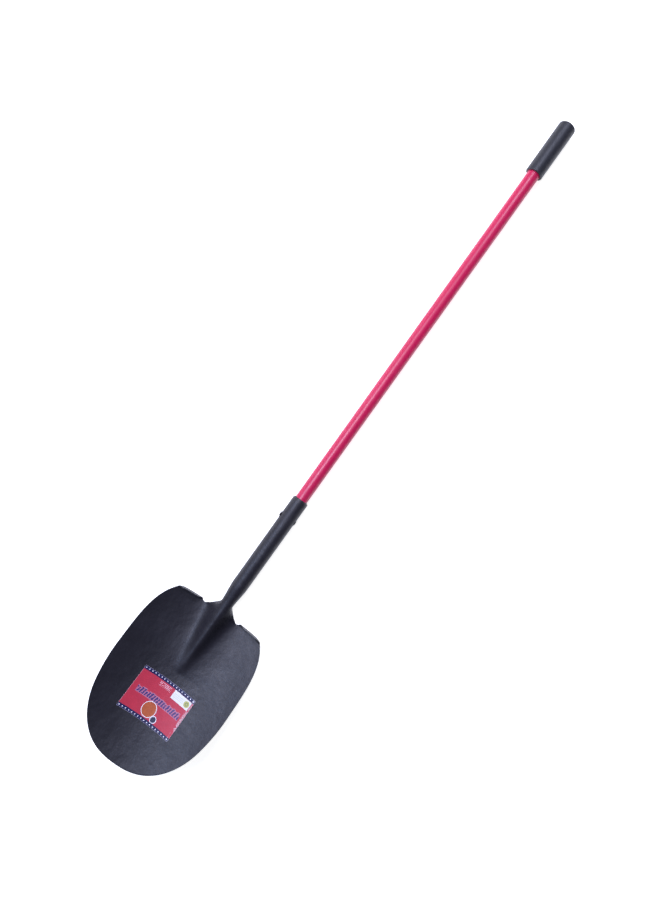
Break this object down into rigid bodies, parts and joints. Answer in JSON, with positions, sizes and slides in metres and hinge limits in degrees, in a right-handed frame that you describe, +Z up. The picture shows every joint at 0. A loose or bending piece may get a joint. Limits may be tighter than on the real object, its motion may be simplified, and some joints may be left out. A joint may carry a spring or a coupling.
{
  "type": "round point shovel",
  "caption": "Long-handled digging shovel: dished steel blade with frog, turned steps and rolled socket, straight red fibreglass handle, rubber end grip.",
  "frame": {"origin": "bottom centre of the shovel's box, lying face up", "axes": "+X along the handle from the blade's nose to the grip's end, +Y across the blade, +Z up, the way the dish opens"},
  "size_m": [1.4584, 0.2482, 0.0815],
  "materials": {
    "blade_steel": "satin black powder coat",
    "handle_fibreglass": "gloss crimson",
    "plug_wood": "bare",
    "sleeve_plastic": "matte",
    "rivet_steel": "black, painted with the blade",
    "grip_rubber": "satin",
    "label_print": "coated, printed",
    "sticker_paper": "matte"
  },
  "bodies": {
    "root": {"blade_and_socket": "blade_steel", "handle_tube": "handle_fibreglass", "crush_plug": "plug_wood", "socket_sleeve": "sleeve_plastic", "socket_rivet": "rivet_steel", "rivet_burr": "rivet_steel", "end_grip": "grip_rubber", "blade_label": "label_print", "price_sticker": "sticker_paper"}
  },
  "joints": []
}
